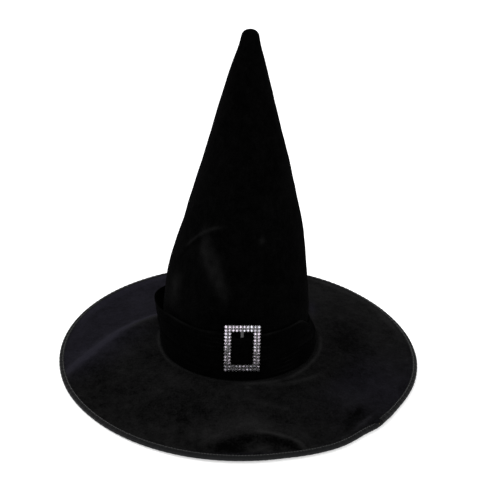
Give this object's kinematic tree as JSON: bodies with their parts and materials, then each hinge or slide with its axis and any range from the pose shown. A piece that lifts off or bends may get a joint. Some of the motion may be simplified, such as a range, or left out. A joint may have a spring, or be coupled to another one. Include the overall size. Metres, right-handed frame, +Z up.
{
  "type": "witch hat",
  "caption": "Velvet cone hat with a wide wired brim, a pleated hatband and a rhinestone buckle that slides along the band.",
  "frame": {"origin": "on the crown's axis, in the plane that the brim's edge rests on", "axes": "+Z up along the crown's axis to the tip; -Y is the front, where the buckle sits; +X is the wearer's left"},
  "size_m": [0.4569, 0.457, 0.4062],
  "materials": {
    "crown_velvet": "cut pile velvet, matt with a soft sheen at grazing angles",
    "brim_velvet": "cut pile velvet, brushed outwards",
    "band_velvet": "cut pile velvet, folded in soft pleats",
    "felt": "stiff pressed felt",
    "lining_satin": "satin lining",
    "buckram": "stiffened open weave",
    "under_cloth": "short pile velour",
    "binding_tape": "woven bias tape",
    "binding_thread": "spun sewing thread",
    "black_thread": "spun sewing thread",
    "grosgrain": "ribbed ribbon",
    "spring_wire": "drawn spring wire",
    "ferrule_brass": "drawn tube, crimped",
    "buckle_metal": "bright plated",
    "cup_metal": "bright plated",
    "crystal": "faceted, foil backed"
  },
  "bodies": {
    "hat": {"crown_shell": "crown_velvet", "crown_felt": "felt", "crown_lining": "lining_satin", "back_seam_stitches": "black_thread", "brim_top": "brim_velvet", "brim_buckram": "buckram", "brim_underside": "under_cloth", "brim_wire": "spring_wire", "wire_ferrule": "ferrule_brass", "edge_binding": "binding_tape", "binding_stitches": "binding_thread", "crown_base_stitches": "black_thread", "sweatband": "grosgrain", "sweatband_stitches": "binding_thread", "hatband": "band_velvet", "hatband_tacks": "black_thread"},
    "buckle": {"buckle_plate": "buckle_metal", "buckle_bar": "buckle_metal", "stone_cups": "cup_metal", "rhinestones": "crystal"}
  },
  "joints": [
    {"name": "buckle_slide", "type": "hinge", "parent": "hat", "child": "buckle", "pos_m": [0, 0, 0.05], "axis": [0, 0, 1], "range_deg": [-10, 10]}
  ]
}
